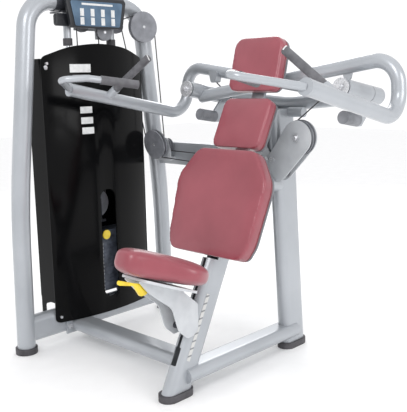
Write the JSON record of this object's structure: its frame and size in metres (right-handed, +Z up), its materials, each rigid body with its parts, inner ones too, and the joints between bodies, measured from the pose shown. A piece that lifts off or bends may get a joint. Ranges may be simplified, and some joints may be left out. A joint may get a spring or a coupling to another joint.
{
  "type": "shoulder press machine",
  "caption": "Seated overhead press machine with padded seat and back, two crossing press arms, cable pulleys and a shrouded selector weight stack tower.",
  "frame": {"origin": "middle of the underside of the seat column's foot, on the floor", "axes": "+Z up; the user sits facing -Y; the weight stack tower stands on the -X side"},
  "size_m": [1.4537, 1.0388, 1.503],
  "materials": {
    "frame_silver": "satin metallic powder coat",
    "dark_metal": "dark satin powder coat",
    "shroud_black": "gloss moulded sheet",
    "placard_blue": "printed panel",
    "plate_iron": "painted iron",
    "rod_chrome": "polished",
    "rubber_dark": "moulded rubber",
    "pad_maroon": "grained vinyl over foam",
    "board_grey": "moulded backing",
    "pulley_grey": "moulded nylon",
    "cable_black": "coated steel cable",
    "lever_yellow": "gloss moulded",
    "scale_white": "printed strip",
    "bolt_steel": "zinc plated"
  },
  "bodies": {
    "frame": {"tower_arch_front": "frame_silver", "tower_arch_rear": "frame_silver", "tower_top_member": "dark_metal", "tower_base_beam": "frame_silver", "rear_base_beam": "frame_silver", "main_base_beam": "frame_silver", "pivot_crossbar": "frame_silver", "pivot_housings": "frame_silver", "pivot_axles": "bolt_steel", "seat_column": "frame_silver", "rear_column": "frame_silver", "column_link_tube": "frame_silver", "rubber_feet": "rubber_dark", "shroud_front_panel": "shroud_black", "shroud_casing": "shroud_black", "placard_housing": "shroud_black", "placard_panel": "placard_blue", "guide_rods": "rod_chrome", "guide_rod_sleeves": "frame_silver", "rubber_buffers": "rubber_dark", "weight_plates": "plate_iron", "pulley_brackets": "frame_silver", "cable_channel": "frame_silver", "frame_cables": "cable_black", "arm_cable_left": "cable_black", "arm_cable_right": "cable_black", "stack_cable_legs": "cable_black", "arm_bumpers": "rubber_dark", "back_pad": "pad_maroon", "neck_pad": "pad_maroon", "head_pad": "pad_maroon", "pad_boards": "board_grey", "pad_post": "frame_silver", "height_scale": "scale_white", "fasteners": "bolt_steel"},
    "left_arm": {"left_arm_tube": "frame_silver", "left_handle_bars": "frame_silver", "left_grips": "rubber_dark"},
    "right_arm": {"right_arm_tube": "frame_silver", "right_handle_bars": "frame_silver", "right_grips": "rubber_dark"},
    "weight_carriage": {"top_weight": "plate_iron", "selector_stem": "dark_metal", "stack_cable_loop": "cable_black"},
    "stack_pulley": {"stack_pulley": "pulley_grey"},
    "selector_pin": {"selector_pin": "lever_yellow"},
    "seat": {"seat_pad": "pad_maroon", "seat_bracket": "frame_silver", "seat_carriage": "dark_metal"},
    "seat_lever": {"seat_lever": "lever_yellow"},
    "head_pulley_line": {"head_pulley_line": "pulley_grey"},
    "upper_guide_pulley": {"upper_guide_pulley": "pulley_grey"},
    "rear_guide_pulley": {"rear_guide_pulley": "pulley_grey"},
    "turn_pulley_right": {"turn_pulley_right": "pulley_grey"},
    "big_pulley_right": {"big_pulley_right": "pulley_grey"},
    "head_pulley_front": {"head_pulley_front": "pulley_grey"},
    "head_pulley_rear": {"head_pulley_rear": "pulley_grey"},
    "lower_guide_pulley": {"lower_guide_pulley": "pulley_grey"},
    "turn_pulley_left": {"turn_pulley_left": "pulley_grey"},
    "big_pulley_left": {"big_pulley_left": "pulley_grey"}
  },
  "joints": [
    {"name": "right_arm_press", "type": "hinge", "parent": "frame", "child": "right_arm", "pos_m": [0.378, 0.55201, 1.07751], "axis": [0, 0.9874, -0.1582], "range_deg": [0, 35]},
    {"name": "left_arm_press", "type": "hinge", "parent": "frame", "child": "left_arm", "pos_m": [-0.378, 0.55201, 1.07751], "axis": [0, -0.9874, 0.1582], "range_deg": [0, 35]},
    {"name": "stack_lift", "type": "slide", "parent": "frame", "child": "weight_carriage", "axis": [0, 0, 1], "range_m": [0, 0.3], "deforming": ["stack_cable_legs"]},
    {"name": "stack_pulley_spin", "type": "hinge", "parent": "weight_carriage", "child": "stack_pulley", "pos_m": [-0.79, 0.281, 0.59], "axis": [1, 0, 0], "continuous": true},
    {"name": "selector_pin_pull", "type": "slide", "parent": "weight_carriage", "child": "selector_pin", "axis": [1, 0, 0], "range_m": [0, 0.014]},
    {"name": "seat_slide", "type": "slide", "parent": "frame", "child": "seat", "axis": [0, 0.4473, 0.8944], "range_m": [-0.06, 0.14]},
    {"name": "seat_lever_lift", "type": "hinge", "parent": "seat", "child": "seat_lever", "pos_m": [0.023, -0.14, 0.446], "axis": [-1, 0, 0], "range_deg": [0, 5], "stiffness_Nm_per_rad": 1.5, "springref_deg": -5.73},
    {"name": "head_pulley_line_spin", "type": "hinge", "parent": "frame", "child": "head_pulley_line", "pos_m": [-0.76022, 0.34759, 1.34028], "axis": [0.9853, -0.1706, 0], "range_deg": [-620, 0]},
    {"name": "upper_guide_pulley_spin", "type": "hinge", "parent": "frame", "child": "upper_guide_pulley", "pos_m": [-0.72506, 0.54229, 1.36731], "axis": [0.9839, -0.1774, 0.0229], "range_deg": [-295, 0]},
    {"name": "rear_guide_pulley_spin", "type": "hinge", "parent": "frame", "child": "rear_guide_pulley", "pos_m": [-0.67288, 0.62744, 0.82967], "axis": [-0.0961, -0.9938, -0.0555], "range_deg": [0, 720]},
    {"name": "turn_pulley_right_spin", "type": "hinge", "parent": "frame", "child": "turn_pulley_right", "pos_m": [-0.08792, 0.57263, 0.81522], "axis": [-0.0956, -0.9954, 0], "range_deg": [0, 1015]},
    {"name": "big_pulley_right_spin", "type": "hinge", "parent": "frame", "child": "big_pulley_right", "pos_m": [-0.13081, 0.57571, 0.8999], "axis": [-0.0784, -0.9969, 0], "range_deg": [0, 295]},
    {"name": "head_pulley_front_spin", "type": "hinge", "parent": "frame", "child": "head_pulley_front", "pos_m": [-0.81449, 0.26967, 1.378], "axis": [0.9998, 0, 0.0183], "range_deg": [-620, 0]},
    {"name": "head_pulley_rear_spin", "type": "hinge", "parent": "frame", "child": "head_pulley_rear", "pos_m": [-0.81237, 0.45825, 1.37812], "axis": [0.9956, 0, 0.0938], "range_deg": [-620, 0]},
    {"name": "lower_guide_pulley_spin", "type": "hinge", "parent": "frame", "child": "lower_guide_pulley", "pos_m": [-0.70116, 0.57503, 0.83702], "axis": [-0.0245, -0.9858, -0.1661], "range_deg": [0, 295]},
    {"name": "turn_pulley_left_spin", "type": "hinge", "parent": "frame", "child": "turn_pulley_left", "pos_m": [0.058, 0.57124, 0.76053], "axis": [-0.0181, -0.9998, 0], "range_deg": [0, 1325]},
    {"name": "big_pulley_left_spin", "type": "hinge", "parent": "frame", "child": "big_pulley_left", "pos_m": [0.131, 0.571, 0.89996], "axis": [0, -1, 0], "range_deg": [-295, 0]}
  ],
  "couplings": [
    {"joint": "left_arm_press", "follows": "right_arm_press", "ratio": 1},
    {"joint": "stack_lift", "follows": "right_arm_press", "m_per_rad": 0.49},
    {"joint": "head_pulley_line_spin", "follows": "right_arm_press", "ratio": -17.5},
    {"joint": "upper_guide_pulley_spin", "follows": "right_arm_press", "ratio": -8.1667},
    {"joint": "rear_guide_pulley_spin", "follows": "right_arm_press", "ratio": 20.417},
    {"joint": "turn_pulley_right_spin", "follows": "right_arm_press", "ratio": 28.823},
    {"joint": "big_pulley_right_spin", "follows": "right_arm_press", "ratio": 8.1667},
    {"joint": "head_pulley_front_spin", "follows": "right_arm_press", "ratio": -17.5},
    {"joint": "head_pulley_rear_spin", "follows": "right_arm_press", "ratio": -17.5},
    {"joint": "lower_guide_pulley_spin", "follows": "right_arm_press", "ratio": 8.1667},
    {"joint": "turn_pulley_left_spin", "follows": "right_arm_press", "ratio": 37.692},
    {"joint": "big_pulley_left_spin", "follows": "right_arm_press", "ratio": -8.1667}
  ]
}
